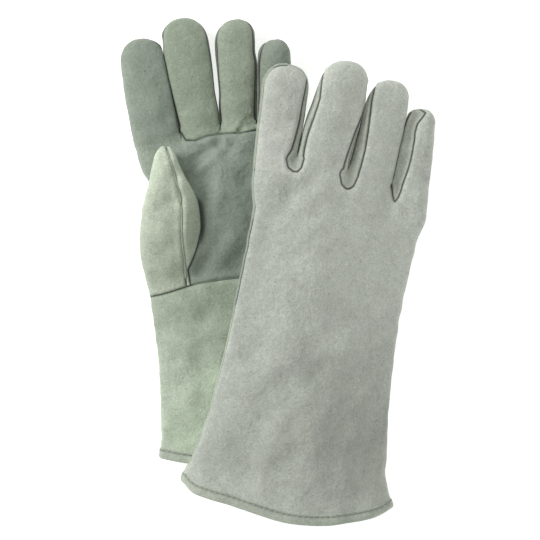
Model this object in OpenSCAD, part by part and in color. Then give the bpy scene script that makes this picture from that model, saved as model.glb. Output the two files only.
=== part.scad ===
// A pair of 14 inch gauntlet welding gloves in split leather: the left glove lies palm up,
// the right glove back up and lying across it.
// Millimetres, +Z up. The origin is the centre of the left glove's wrist seam, on the table.
// Each glove is drawn in its own frame: x across the hand from the thumb edge to the little
// finger edge, y along it from the wrist seam to the fingertips, z out of the palm.
// Angles run round a section: 0 at the +x edge, 90 on the palm, 180 at the -x edge, -90 on the back.

/* [Leather and lining] */
// Thickness of the split leather panels
leather = 1.4; // [1.0:0.1:1.8]
// Thickness of the fleece and canvas lining
lining = 1.2; // [0.8:0.1:1.6]
// Air gap between leather and lining
lining_gap = 1.0; // [0.9:0.1:1.3]
// Width of the turned hem at the cuff mouth
hem_w = 7; // [5:0.5:10]
// Length of each hem stitch, in steps of 0.9 degrees round the mouth
stitch_pitch = 7; // [5:0.5:10]

/* [Cuff] */
// Length of the left gauntlet from the wrist seam to the hem corner
left_cuff = 133; // [110:1:136]
// Length of the right gauntlet from the wrist line to the hem corner
right_cuff = 141; // [110:1:144]
// How far the middle of the hem hangs beyond its corners
hem_bow = 16; // [0:1:18]
// How far the right hem's thumb edge corner hangs beyond its little finger edge corner
hem_skew = 2; // [0:1:14]

/* [Fingers] */
// Finger thickness as a share of its width
finger_round = 0.60; // [0.5:0.02:0.66]
// Clearance between each finger and the hand at its knuckle fold
knuckle_gap = 1.5; // [1.2:0.1:3]

/* [Placement on the table] */
// Turn of the left glove in the table plane, degrees
left_turn = 8.7; // [0:0.1:12]
// Turn of the right glove in the table plane, degrees
right_turn = -8.5; // [-12:0.1:0]
// Where the right wrist centre lies, along X
right_x = 59.8; // [58:0.1:76]
// Where the right wrist centre lies, along Y
right_y = -36.4; // [-40:0.1:-24]
// How high the right glove's thumb edge rides over the left glove
drape = 45.5; // [44:0.5:50]

/* [Hidden] */
NODES = [
    "left_back_panel", "left_palm_panel", "left_cuff_front", "left_cuff_hem",
    "left_hem_stitching", "left_wrist_welt", "left_side_welt",
    "left_hand_lining", "left_cuff_lining", "left_thumb_base_outer", "left_thumb_base_inner",
    "left_thumb_outer", "left_thumb_inner", "left_thumb_lining",
    "left_index_back", "left_index_front", "left_index_fourchette", "left_index_lining",
    "left_middle_back", "left_middle_front", "left_middle_fourchettes", "left_middle_lining",
    "left_ring_back", "left_ring_front", "left_ring_fourchettes", "left_ring_lining",
    "left_little_back", "left_little_front", "left_little_fourchette", "left_little_lining",
    "right_back_panel", "right_palm_panel", "right_cuff_front", "right_cuff_hem",
    "right_hem_stitching", "right_wrist_welt", "right_side_welt",
    "right_hand_lining", "right_cuff_lining", "right_thumb_base_outer", "right_thumb_base_inner",
    "right_thumb_outer", "right_thumb_inner", "right_thumb_lining",
    "right_index_back", "right_index_front", "right_index_fourchette", "right_index_lining",
    "right_middle_back", "right_middle_front", "right_middle_fourchettes", "right_middle_lining",
    "right_ring_back", "right_ring_front", "right_ring_fourchettes", "right_ring_lining",
    "right_little_back", "right_little_front", "right_little_fourchette", "right_little_lining"];
node = "all";

// every pair of values or tables below is indexed by side
LEFT = 0;
RIGHT = 1;
cuff_len = [left_cuff, right_cuff];
turns = [left_turn, right_turn];
wrists = [[0, 0], [right_x, right_y]];

// colours
back_grey = "#a9aea3";
palm_grey = "#8e968b";
cuff_green = "#a2ad97";
fleece = "#d9d4c4";
thread = "#5f675c";

function signed_pow(x, power) = sign(x) * pow(abs(x), power);
function ease(x) = let (t = min(1, max(0, x))) t * t * (3 - 2 * t);
function mix(from, to, share) = from + (to - from) * share;

// insets from the outer face; face is 0 for a piece's outer face and 1 for its inner face
function leather_inset(face) = face * leather;
function lining_inset(face) = leather + lining_gap + face * lining;
function welt_inset(face) = face == 0 ? -0.3 : leather + 0.1;

// ---- Placement on the table ----
flat = 0.93; // the left back is pressed flat at this share of its half thickness
right_rest_z = 14.9; // mid-height of the right glove where it lies on the table
// right glove against y: rise over the left glove, x where the rise starts, width it takes
drape_rise = [
    [-158, 22], [-100, 28], [-40, 36], [10, drape - 1],
    [60, drape], [107, drape - 0.5], [150, 35], [200, 34]];
drape_start = [[-158, 142], [-60, 118], [0, 86], [60, 70], [200, 64]];
drape_span = [[-158, 128], [-60, 120], [0, 116], [60, 110], [200, 104]];

// height of the middle of the glove above the table
function lift(side, x, y) = side == LEFT
    ? flat * lookup(y, back_half[LEFT])
    : right_rest_z + lookup(y, drape_rise)
        * ease((lookup(y, drape_start) - x) / lookup(y, drape_span));

// from a glove's own frame to the table
function world(side, x, y, z) = let (turn = turns[side], wrist = wrists[side])
    [wrist[0] + x * cos(turn) - y * sin(turn),
     wrist[1] + x * sin(turn) + y * cos(turn),
     lift(side, x, y) + (side == LEFT ? z : -z)];

// ---- Hand and cuff ----
// [y, x] of the thumb edge
thumb_edge = [
    [[-150, -84], [-136, -81], [-118, -76], [-105, -74.4], [-87, -72], [-57, -68.8], [-32, -67.6],
     [-8, -66.5], [14, -62], [30, -59], [52, -57.5], [80, -57], [107, -62.4]],
    [[-158, -83], [-136, -80], [-118, -74.6], [-106, -72], [-82, -67.3], [-54, -64.2],
     [-20, -61.2], [21, -59.3], [52, -58], [78, -58], [107, -62.3]]];
// [y, x] of the little finger edge
little_edge = [
    [[-150, 84], [-136, 80], [-114, 73], [-92, 71], [-67, 69], [-43, 68], [-18, 66.5],
     [7, 66], [32, 67], [57, 69], [82, 69.5], [107, 68]],
    [[-158, 86], [-134, 83], [-128, 80.6], [-114, 73.1], [-92, 72.1], [-67.5, 69.3],
     [-42.8, 67.9], [-18, 66.5], [6.7, 66], [31.8, 66.9], [57, 70], [82.5, 72.5], [107.6, 74.2]]];
// [y, half thickness]: the left glove is as thick on the palm side as on the back
left_half = [[-150, 12], [-100, 12], [-40, 13.5], [0, 15.5], [50, 16], [90, 15], [107, 14]];
palm_half = [
    left_half,
    [[-158, 13], [-100, 13], [-40, 14], [0, 15.5], [50, 16], [90, 15], [107, 14]]];
back_half = [
    left_half,
    [[-158, 23], [-120, 21], [-40, 18], [0, 17], [50, 17.5], [90, 16.5], [107, 15]]];
// [y, angle] where the palm panel stops for the thumb opening
thumb_window = [
    [0, 113], [12, 110], [28, 103], [45, 99], [58, 102],
    [66, 116], [72, 142], [79, 177.6], [200, 177.6]];
hand_power = 0.77; // squareness of the section
back_end = [105, 94]; // y where the back panel stops at the knuckle fold
palm_end = [97, 97]; // y where the palm panel stops
wrist_gap = 1.4; // from the wrist line to the panels on each side of it
hem_gap = 0.4; // between the hem and the cuff panels
side_seam = 1.8; // angle from the edge of the hand to a panel's edge
stitch_out = 1.35; // how far the hem thread stands out
hem_out = 0.7; // how far the hem stands out
thread_clear = 0.25; // height of the thread over the table under the left glove
raised_clear = 0.5; // height of the hem and welts over the table under the left glove

// a point on the hand or cuff in the glove's frame
function hand(side, y, angle, inset) = let (
        thumb_x = lookup(y, thumb_edge[side]),
        little_x = lookup(y, little_edge[side]),
        half_x = (little_x - thumb_x) / 2 - inset,
        half_z = lookup(y, sin(angle) > 0 ? palm_half[side] : back_half[side]) - inset,
        z = half_z * signed_pow(sin(angle), hand_power),
        clear = inset < -0.8 ? thread_clear : inset < 0 ? raised_clear : inset,
        rests = side == LEFT && sin(angle) < 0)
    [(thumb_x + little_x) / 2 + half_x * signed_pow(cos(angle), hand_power),
     y,
     rests ? max(z, clear - flat * lookup(y, back_half[LEFT])) : z];

bow_start = 30; // distance below the wrist where the cuff starts to bow and skew
bow_x = 2; // middle of the bow
bow_half = 82; // half width of the bow
skew_w = 160; // width over which the full skew is reached

// how far a point of the cuff is moved towards the mouth
function bow(side, x, y) = let (share = ease((-y - bow_start) / (cuff_len[side] - bow_start)))
    hem_bow * share * (1 - pow(min(1, abs(x - bow_x) / bow_half), 2))
    - (side == RIGHT ? hem_skew * share * x / skew_w : 0);
function hand_at(side, y, angle, inset) = let (point = hand(side, y, angle, inset))
    world(side, point[0], point[1] - bow(side, point[0], point[1]), point[2]);

// ---- Fingers ----
finger_names = ["index", "middle", "ring", "little"];
// [root x, y], [tip x, y], [half width at the knuckle, middle and near the tip]
fingers = [
    [[[-44, 108], [-45.5, 191], [17.8, 17.4, 16.6]],
     [[-9.6, 108], [-9, 201], [15, 16.6, 17.8]],
     [[19.5, 108], [30.5, 194], [12.8, 14.2, 15.2]],
     [[50, 108], [57, 175.5], [14.6, 13, 11.8]]],
    [[[-45.2, 108], [-46, 190], [16.2, 18.9, 18.6]],
     [[-10, 107], [0.4, 200], [17.2, 18.6, 18]],
     [[28, 106], [35.3, 190], [16, 15.6, 14.9]],
     [[59.8, 103], [62.8, 172], [13.2, 12, 11.2]]]];
finger_extra = 3; // added to a finger's half thickness
finger_power = 0.85; // squareness of the section
finger_clear = 0.2; // height of the left fingers over the table
cap_share = 1.05; // length of the rounded tip over the half width there
finger_inset = 0.72; // largest inset as a share of the half size
knuckle_y = 107;

// a point on a finger: share is the share of the way to the tip
function finger_at(side, finger, share, angle, inset) = let (
        spec = fingers[side][finger],
        root = spec[0],
        tip = spec[1],
        widths = spec[2],
        wide = lookup(share, [[0, widths[0]], [0.5, widths[1]], [1, widths[2]]]),
        thick = wide * finger_round + finger_extra,
        cap = widths[2] * cap_share / (tip[1] - root[1]),
        into_cap = max(0, (share - (1 - cap)) / cap),
        shrink = sqrt(max(0.004, 1 - into_cap * into_cap)),
        half_x = wide * shrink,
        half_z = thick * pow(shrink, 0.9),
        inset_x = min(inset, half_x * finger_inset),
        inset_z = min(inset_x, half_z * finger_inset),
        drop = side == LEFT
            ? flat * lookup(knuckle_y, back_half[LEFT]) - thick - finger_clear
            : 0)
    world(side,
        mix(root[0], tip[0], share) + (half_x - inset_x) * signed_pow(cos(angle), finger_power),
        mix(root[1] + knuckle_gap, tip[1], share) - inset * min(1, into_cap * 1.2),
        (half_z - inset_z) * signed_pow(sin(angle), finger_power) - drop);

// ---- Thumb ----
// [y, centre x, centre z, half width, half thickness, angle where the inner panel starts,
// angle where the outer panel ends]. The first five rows are the base, sewn into the palm
// opening; the rest are the free end.
thumb_rows = [
    [[4, -51.5, 6, 17.5, 12, 50, 214],
     [20, -47.5, 8, 22.3, 17, 34, 210],
     [36, -43.8, 10.5, 23.6, 19, 26, 211],
     [50, -42, 13.5, 22.3, 18.5, 14, 216],
     [58, -40.7, 17.5, 20.6, 15.5, 2, 230],
     [67, -40.4, 25, 18.2, 9.4, -118, 238],
     [76, -40.5, 28, 15.3, 11.2, -118, 238],
     [86, -40.4, 29, 11, 10.6, -118, 238],
     [95, -39.5, 29, 7.4, 8, -118, 238],
     [100, -39, 29, 4.8, 5.4, -118, 238],
     [102.6, -38.8, 29, 2.2, 2.4, -118, 238]],
    [[4, -46, 6, 14.5, 9.5, 50, 190],
     [20, -42, 8, 20, 12, 44, 193],
     [36, -39, 10, 22, 11.5, 42, 196],
     [50, -35, 12.5, 22, 9.5, 38, 198],
     [58, -31.8, 16.1, 20.4, 6.4, 18, 204],
     [67, -28.3, 21.2, 17.6, 4.2, -118, 238],
     [76, -25.5, 22, 15.6, 4.6, -118, 238],
     [86, -23, 22, 13.4, 4.6, -118, 238],
     [95, -21, 22, 10.8, 4.4, -118, 238],
     [101, -20, 22, 7.2, 3.8, -118, 238],
     [104, -19.5, 22, 3, 2.6, -118, 238]]];
base_rows = 4; // last row of the base
free_row = 5; // first row of the free end
free_rows = 5; // rows from there to the tip

// the table's row at a real row number
function thumb_row(side, row) = let (rows = thumb_rows[side], below = min(len(rows) - 2, floor(row)))
    mix(rows[below], rows[below + 1], row - below);
function thumb_at(side, row, angle, inset) = let (
        spec = thumb_row(side, row),
        inset_xz = min(inset, spec[4] * 0.62),
        into_tip = max(0, row - 9))
    world(side,
        spec[1] + (spec[3] - inset_xz) * cos(angle),
        spec[0] - inset * 0.9 * into_tip,
        spec[2] + (spec[4] - inset_xz) * sin(angle));
// the two leathers meet near 59 degrees
function thumb_outer_at(side, row, around, face) =
    thumb_at(side, row, mix(62, thumb_row(side, row)[6], around), leather_inset(face));
function thumb_inner_at(side, row, around, face) =
    thumb_at(side, row, mix(thumb_row(side, row)[5], 56, around), leather_inset(face));

// ---- Sheets with thickness ----
// rows x cols cells; point(along, around, face) takes shares 0 to 1 of the rows and columns.
// A closed sheet is a tube with open ends. The right glove is mirrored, so its faces are flipped.
module sheet(side, rows, cols, point, closed = false) {
    row_points = closed ? cols : cols + 1;
    points = [for (face = [0, 1]) for (i = [0:rows]) for (j = [0:row_points - 1])
        point(i / rows, j / cols, face)];
    function id(face, i, j) = (face * (rows + 1) + i) * row_points + j % row_points;
    function quad(a, b, c, d) = side == RIGHT ? [[a, c, b], [a, d, c]] : [[a, b, c], [a, c, d]];
    skins = [for (i = [0:rows - 1]) for (j = [0:cols - 1]) each concat(
        quad(id(0, i, j), id(0, i + 1, j), id(0, i + 1, j + 1), id(0, i, j + 1)),
        quad(id(1, i, j), id(1, i, j + 1), id(1, i + 1, j + 1), id(1, i + 1, j)))];
    ends = [for (j = [0:cols - 1]) each concat(
        quad(id(0, 0, j), id(0, 0, j + 1), id(1, 0, j + 1), id(1, 0, j)),
        quad(id(0, rows, j), id(1, rows, j), id(1, rows, j + 1), id(0, rows, j + 1)))];
    edges = closed ? [] : [for (i = [0:rows - 1]) each concat(
        quad(id(0, i, 0), id(1, i, 0), id(1, i + 1, 0), id(0, i + 1, 0)),
        quad(id(0, i, cols), id(0, i + 1, cols), id(1, i + 1, cols), id(1, i, cols)))];
    polyhedron(points = points, faces = concat(skins, ends, edges), convexity = 6);
}

// ---- Hand and cuff pieces ----
function cuff_y(side, share) = mix(-cuff_len[side] + hem_w + hem_gap, -wrist_gap, share);
// rows 0 to 7 cover the cuff, rows 8 to 14 the hand
function back_y(side, row) = row < 7.5
    ? cuff_y(side, row / 7)
    : mix(wrist_gap, back_end[side], (row - 8) / 6);

// back of the hand and of the gauntlet in one piece, hem to knuckles
module back_panel(side) color(back_grey)
    sheet(side, 14, 12, function (along, around, face)
        hand_at(side, back_y(side, along * 14), mix(side_seam - 180, -side_seam, around),
            leather_inset(face)));

// palm side from the wrist seam to the knuckles, with the thumb opening left out
module palm_panel(side) color(palm_grey)
    sheet(side, 12, 9, function (along, around, face)
        let (y = mix(wrist_gap, palm_end[side], along))
        hand_at(side, y, mix(side_seam, lookup(y, thumb_window), around), leather_inset(face)));

// palm side of the gauntlet
module cuff_front(side) color(cuff_green)
    sheet(side, 7, 12, function (along, around, face)
        hand_at(side, cuff_y(side, along), mix(side_seam, 180 - side_seam, around),
            leather_inset(face)));

// turned leather hem round the mouth
module cuff_hem(side) color(cuff_green)
    sheet(side, 1, 28, function (along, around, face)
        hand_at(side, -cuff_len[side] + hem_w * along, around * 360 - 180,
            face == 0 ? -hem_out : lining_inset(1)), closed = true);

// thread of the hem seam: one bar a stitch
module hem_stitching(side) color(thread) {
    step = 360 / 20;
    thread_w = 0.6;
    thread_h = 0.4;
    y = -cuff_len[side] + hem_w - 1.1;
    for (i = [0:19])
        let (
            angle = (i + 0.25) * step - 180,
            start = hand_at(side, y, angle, -stitch_out),
            run = hand_at(side, y, angle + stitch_pitch * 0.9, -stitch_out) - start)
        translate(start)
            rotate([0, -atan2(run[2], norm([run[0], run[1]])), atan2(run[1], run[0])])
                translate([0, -thread_w / 2, -thread_h / 2])
                    cube([norm(run), thread_w, thread_h]);
}

// leather strip sewn into the wrist seam on the palm side
module wrist_welt(side) color(palm_grey)
    sheet(side, 1, 12, function (along, around, face)
        hand_at(side, mix(-1.2, 1.2, along), mix(4, 176, around), welt_inset(face)));

// leather strips in the side seams: hem to knuckles along the little finger edge,
// hem to wrist along the thumb edge
module side_welt(side) color(palm_grey) {
    half_angle = 0.9;
    sheet(side, 13, 1, function (along, around, face)
        hand_at(side, back_y(side, along * 13), mix(-half_angle, half_angle, around),
            welt_inset(face)));
    sheet(side, 7, 1, function (along, around, face)
        hand_at(side, cuff_y(side, along), mix(180 - half_angle, 180 + half_angle, around),
            welt_inset(face)));
}

// columns 0 to 12 line the back, columns 13 to 22 the palm up to the thumb opening
module hand_lining(side) color(fleece)
    sheet(side, 12, 22, function (along, around, face)
        let (
            y = mix(wrist_gap, palm_end[side], min(along, 11.8 / 12)),
            col = around * 22,
            on_back = col < 12.5,
            angle = on_back
                ? mix(-176.4, -2.4, col / 12)
                : mix(2.4, lookup(y, thumb_window) - 3, (col - 13) / 9))
        hand_at(side, y, angle, lining_inset(face) + (on_back ? 0 : 0.5)));

module cuff_lining(side) color(fleece)
    sheet(side, 7, 24, function (along, around, face)
        hand_at(side, cuff_y(side, along), around * 360 - 180, lining_inset(face)),
        closed = true);

// ---- Finger pieces ----
// Fourchettes are the gussets between fingers; the outer sides of index and little have none.
function gusset_thumbward(finger) = finger > 0;
function gusset_littleward(finger) = finger < 3;
// angle from the finger's side to the edge of its back or front
function panel_edge(gusset) = gusset ? 32 : 2;
// rows crowd towards the tip
function finger_share(along) = pow(along, 0.8);

module finger_panel(side, finger, from, to)
    sheet(side, 8, 6, function (along, around, face)
        finger_at(side, finger, finger_share(along), mix(from, to, around),
            leather_inset(face)));

module finger_back(side, finger) color(back_grey)
    finger_panel(side, finger, panel_edge(gusset_thumbward(finger)) - 180,
        -panel_edge(gusset_littleward(finger)));

module finger_front(side, finger) color(palm_grey)
    finger_panel(side, finger, panel_edge(gusset_littleward(finger)),
        180 - panel_edge(gusset_thumbward(finger)));

module finger_fourchettes(side, finger) color(palm_grey)
    for (middle = concat(gusset_littleward(finger) ? [0] : [],
            gusset_thumbward(finger) ? [180] : []))
        sheet(side, 7, 2, function (along, around, face)
            finger_at(side, finger, finger_share(along) * 0.985,
                mix(middle - 29, middle + 29, around), leather_inset(face)));

module finger_lining(side, finger) color(fleece)
    sheet(side, 7, 16, function (along, around, face)
        finger_at(side, finger, finger_share(along * 0.875), around * 360 - 180,
            lining_inset(face)), closed = true);

// ---- Thumb pieces ----
// The outer leather wraps the thumb edge side, the inner leather the little finger side.
module thumb_base_outer(side) color(cuff_green)
    sheet(side, base_rows, 8, function (along, around, face)
        thumb_outer_at(side, along * base_rows, around, face));

module thumb_base_inner(side) color(palm_grey)
    sheet(side, base_rows, 5, function (along, around, face)
        thumb_inner_at(side, along * base_rows, around, face));

module thumb_outer(side) color(cuff_green)
    sheet(side, free_rows, 8, function (along, around, face)
        thumb_outer_at(side, free_row + along * free_rows, around, face));

module thumb_inner(side) color(palm_grey)
    sheet(side, free_rows, 8, function (along, around, face)
        thumb_inner_at(side, free_row + along * free_rows, around, face));

module thumb_lining(side) color(fleece)
    sheet(side, 3, 14, function (along, around, face)
        thumb_at(side, free_row + along * 3, around * 360, leather + (face == 0 ? 0.7 : 1.3)),
        closed = true);

function shown(prefix, piece) = node == "all" || node == str(prefix, "_", piece);

module glove(side, name) {
    if (shown(name, "back_panel")) back_panel(side);
    if (shown(name, "palm_panel")) palm_panel(side);
    if (shown(name, "cuff_front")) cuff_front(side);
    if (shown(name, "cuff_hem")) cuff_hem(side);
    if (shown(name, "hem_stitching")) hem_stitching(side);
    if (shown(name, "wrist_welt")) wrist_welt(side);
    if (shown(name, "side_welt")) side_welt(side);
    if (shown(name, "hand_lining")) hand_lining(side);
    if (shown(name, "cuff_lining")) cuff_lining(side);
    if (shown(name, "thumb_outer")) thumb_outer(side);
    if (shown(name, "thumb_inner")) thumb_inner(side);
    if (shown(name, "thumb_base_outer")) thumb_base_outer(side);
    if (shown(name, "thumb_base_inner")) thumb_base_inner(side);
    if (shown(name, "thumb_lining")) thumb_lining(side);
    for (i = [0:3]) {
        prefix = str(name, "_", finger_names[i]);
        gussets = i == 1 || i == 2 ? "fourchettes" : "fourchette";
        if (shown(prefix, "back")) finger_back(side, i);
        if (shown(prefix, "front")) finger_front(side, i);
        if (shown(prefix, gussets)) finger_fourchettes(side, i);
        if (shown(prefix, "lining")) finger_lining(side, i);
    }
}

glove(LEFT, "left");
glove(RIGHT, "right");
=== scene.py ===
"""A pair of fleece-lined suede gloves with long cuffs, lying on a pale floor.

The left glove lies flat, palm up. The right one lies palm down, its thumb side raised over the
left glove. Fingers point roughly to +Y and both thumbs are on the -X side.

Each glove is shaped in its own frame, in mm: x runs across from the thumb edge to the little
finger, y from the cuff to the fingertips and z from the back of the hand to the palm.
to_world() lays that frame out in world metres.
"""
import itertools
import math
from collections import namedtuple

import bpy
import mathutils
import numpy as np
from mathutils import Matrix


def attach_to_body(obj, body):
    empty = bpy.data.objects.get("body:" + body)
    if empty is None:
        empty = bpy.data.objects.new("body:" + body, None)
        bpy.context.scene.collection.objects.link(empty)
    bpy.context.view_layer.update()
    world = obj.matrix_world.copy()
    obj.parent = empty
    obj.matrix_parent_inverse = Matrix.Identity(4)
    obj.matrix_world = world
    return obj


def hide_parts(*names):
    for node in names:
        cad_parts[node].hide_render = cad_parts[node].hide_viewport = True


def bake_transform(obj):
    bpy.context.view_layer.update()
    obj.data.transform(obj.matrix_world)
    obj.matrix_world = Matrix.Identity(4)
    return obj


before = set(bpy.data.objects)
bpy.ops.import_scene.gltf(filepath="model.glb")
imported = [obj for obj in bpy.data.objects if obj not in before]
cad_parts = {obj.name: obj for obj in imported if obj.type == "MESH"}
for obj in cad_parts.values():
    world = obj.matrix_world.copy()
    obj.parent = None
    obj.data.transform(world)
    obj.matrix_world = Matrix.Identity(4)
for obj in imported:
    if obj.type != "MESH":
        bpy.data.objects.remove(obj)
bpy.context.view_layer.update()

LEFT, RIGHT = BOTH = (0, 1)
SIDE_NAMES = ("left", "right")
FINGER_NAMES = ("index", "middle", "ring", "little")
FULL_TURN = 2 * math.pi


# ---------------------------------------------------------------- small helpers
def profile(stations, sigma, low=-230, high=240):
    """Function through (position, value) stations, blurred over sigma mm."""
    stations = np.array(stations, float)
    position = np.arange(low, high + 1.0)
    value = np.interp(position, stations[:, 0], stations[:, 1])
    reach = int(3 * sigma)
    kernel = np.exp(-0.5 * (np.arange(-reach, reach + 1) / sigma) ** 2)
    kernel /= kernel.sum()
    value = np.convolve(np.pad(value, reach, mode="edge"), kernel, "valid")
    return lambda at: np.interp(at, position, value)


def rise(value, start, length):
    """Smooth step from 0 at start to 1 at start + length."""
    part = np.clip((value - start) / length, 0, 1)
    return part * part * (3 - 2 * part)


def bell(value, width):
    return np.exp(-(value / width) ** 2)


def soft_min(a, b, blend):
    overlap = np.maximum(blend - np.abs(a - b), 0) / blend
    return np.minimum(a, b) - overlap * overlap * blend / 4


# ---------------------------------------------------------------- dimensions; pairs are left, right
GRID_STEP = 1.25      # of the leather surface
CLOTH_STEP = 4.5                        # of the coarse copy used for the cloth simulation
PUFF = 2.4                              # how far the leather swells between its seams
TURN = (8.7, -8.5)                      # degrees about world Z
ORIGIN = ((0.0, 0.0), (59.8, -36.4))    # world place of each glove frame, mm
CUFF = (133.0, 141.0)                   # reach of the cuff below y = 0, at its edges
DRAPE = 45.5                            # rise of the right glove where it crosses the left
FLAT = 0.93                             # the left glove's midplane height over its half height
REST_HEIGHT = 14.9                      # midplane of the right glove where it meets the floor
FLOOR_SOFTNESS = 1.4                    # heights below this are squeezed towards the floor
KNUCKLE_Y = 105.5                       # seam between hand and finger leathers

# exponents of the superelliptic cross sections
HAND_POWER, FINGER_POWER, THUMB_POWER = 2.45, 2.3, 2.15

# edges of the hand and cuff: (y, x)
THUMB_EDGE = [profile(stations, 4) for stations in (
    [[-158, -82], [-136, -79.7], [-118, -75.2], [-105, -73.6], [-87, -71.2], [-57, -68.2],
     [-32, -67.8], [-8, -67.4], [14, -63], [30, -60], [52, -56.5], [80, -54], [107, -58.6]],
    [[-170, -82], [-140, -81], [-128, -79.5], [-121, -76], [-106, -72], [-82, -67.3],
     [-54, -64.2], [-20, -61.2], [21, -59.3], [52, -57.8], [78, -57], [107, -58.6]])]
LITTLE_EDGE = [profile(stations, 4) for stations in (
    [[-150, 84], [-136, 80], [-114, 73], [-92, 71], [-67, 69], [-43, 68], [-18, 66.5],
     [7, 66], [32, 67], [57, 69], [82, 69.5], [107, 68]],
    [[-170, 87], [-140, 84.5], [-132, 82.5], [-124, 78], [-114, 74], [-92, 72.1],
     [-67.5, 69.3], [-42.8, 67.9], [-18, 67.2], [6.7, 67.2], [31.8, 68.3], [57, 70.8],
     [82.5, 72.4], [107.6, 73.2]])]
# half heights of the hand and cuff on the palm and back sides: (y, half height)
PALM_HALF = [profile(stations, 8) for stations in (
    [[-150, 12], [-100, 12], [-40, 13.5], [0, 15.5], [50, 16], [90, 15], [107, 14]],
    [[-158, 13], [-100, 13], [-40, 14], [0, 15.5], [50, 16], [90, 15], [107, 14]])]
BACK_HALF = [PALM_HALF[LEFT], profile(
    [[-158, 23], [-120, 21], [-40, 18], [0, 17], [50, 17.5], [90, 16.5], [107, 15]], 8)]

# drape of the right glove: (y, rise), (y, x where the rise starts), (y, width of the slope)
DRAPE_RISE = profile([[-158, 22], [-100, 28], [-40, 36], [10, DRAPE - 1], [60, DRAPE],
                      [107, DRAPE - 0.5], [150, 35], [200, 34]], 6)
DRAPE_START = profile([[-158, 142], [-60, 118], [0, 86], [60, 70], [200, 64]], 6)
DRAPE_SPAN = profile([[-158, 128], [-60, 120], [0, 116], [60, 110], [200, 104]], 6)

Finger = namedtuple("Finger", "root_x root_y tip_x tip_y root_half mid_half tip_half")
FINGERS = [[Finger(*row) for row in rows] for rows in (
    ((-44.4, 108, -45.6, 189, 17.5, 18.5, 16.6), (-9.6, 108, -11.9, 200, 14.9, 18.7, 19.2),
     (19.4, 108, 29.3, 193, 13.2, 15.9, 16.9), (50.2, 108, 56.8, 173, 14.6, 13.2, 12.0)),
    ((-45.6, 108, -46.8, 190, 16.4, 17.4, 18.0), (-12.4, 107, -0.3, 200, 19.2, 20.6, 17.9),
     (27.8, 106, 35.2, 191, 17.0, 16.9, 15.4), (60.8, 103, 61.0, 173, 14.2, 13.2, 10.4)))]
# bottoms of the gaps between fingers: (x, y)
CROTCHES = (((-25.6, 111.5), (5.6, 108.5), (33.2, 109.5)),
            ((-29.4, 119.5), (10.4, 114.8), (46.6, 110)))
# heights above each crotch where touching fingers start to part and are fully apart
TOUCH = (((62, 74), (14, 34), (46, 58)), ((20, 44), (54, 68), (52, 62)))
GAP_WALL = 1.05     # least distance from the middle of a gap to a finger

# thumb stations: y, centre x, centre z, half width, half height
THUMB_STATIONS = [np.array(rows, float) for rows in (
    [[-14, -52, 3, 14.5, 8.5], [4, -51, 6, 17.6, 12], [20, -48, 8, 22.4, 17],
     [36, -44.4, 10.5, 24.2, 19], [50, -42.6, 13.5, 23, 18.5], [60, -41.4, 19, 20.9, 15],
     [68, -40.4, 25, 17.8, 11.4], [76, -40.5, 27.5, 14.6, 11.2], [86, -40.4, 28.3, 11, 10.6],
     [94, -39.6, 28.4, 8.6, 9], [106, -38.6, 28.4, 7.4, 7.4]],
    [[-12, -46, 3, 11, 7], [4, -46, 6, 12.8, 9.5], [20, -42, 8, 16.5, 12],
     [36, -39, 10, 18.7, 11.5], [50, -35, 12.5, 20, 9.5], [60, -31, 17, 20, 6],
     [68, -28, 21, 17.5, 4.4], [76, -25.5, 21.8, 15.6, 4.4], [86, -23, 21.8, 13.4, 4.4],
     [95, -21, 21.8, 11.4, 4.2], [107, -19.5, 21.8, 10, 4]])]
THUMB_PROFILES = [[profile(rows[:, [0, column]], 3) for column in (1, 2, 3, 4)]
                  for rows in THUMB_STATIONS]
THUMB_TIP = (103.0, 104.0)
THUMB_CAP = 11      # length of the rounded thumb end
# seam along the palm side of the thumb: (y, x)
THUMB_SEAM = [profile(stations, 2) for stations in (
    [[-6, -38.5], [17.5, -36.2], [26, -36.2], [41, -34.5], [53, -32.5], [61, -31.8],
     [72.6, -33.2], [83, -34], [98, -36.4], [105, -38]],
    [[-6, -36], [30, -26], [60, -22], [104, -16]])]

# mouth of the right cuff: (x, y)
RIGHT_HEM = profile(
    [[-78.8, -138.4], [-74.8, -144.1], [-69.0, -146.3], [-57.0, -148.4], [-45.2, -149.7],
     [-33.2, -151.8], [-21.2, -153.9], [-9.2, -156.0], [2.7, -157.4], [14.3, -157.2],
     [25.9, -156.3], [37.3, -154.5], [48.5, -151.3], [59.7, -148.1], [70.8, -144.1],
     [80.0, -138.0], [81.8, -134.7]], 2.5, -120, 120)

# half heights of the gussets on the back side, at the -x and +x flanks of each finger
GUSSET_HALF = (([0, 6.0], [6.0, 6.0], [6.0, 6.0], [6.0, 0]),
               ([0, 9.4], [7.0, 6.0], [10.6, 5.5], [9.2, 0]))
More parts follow.
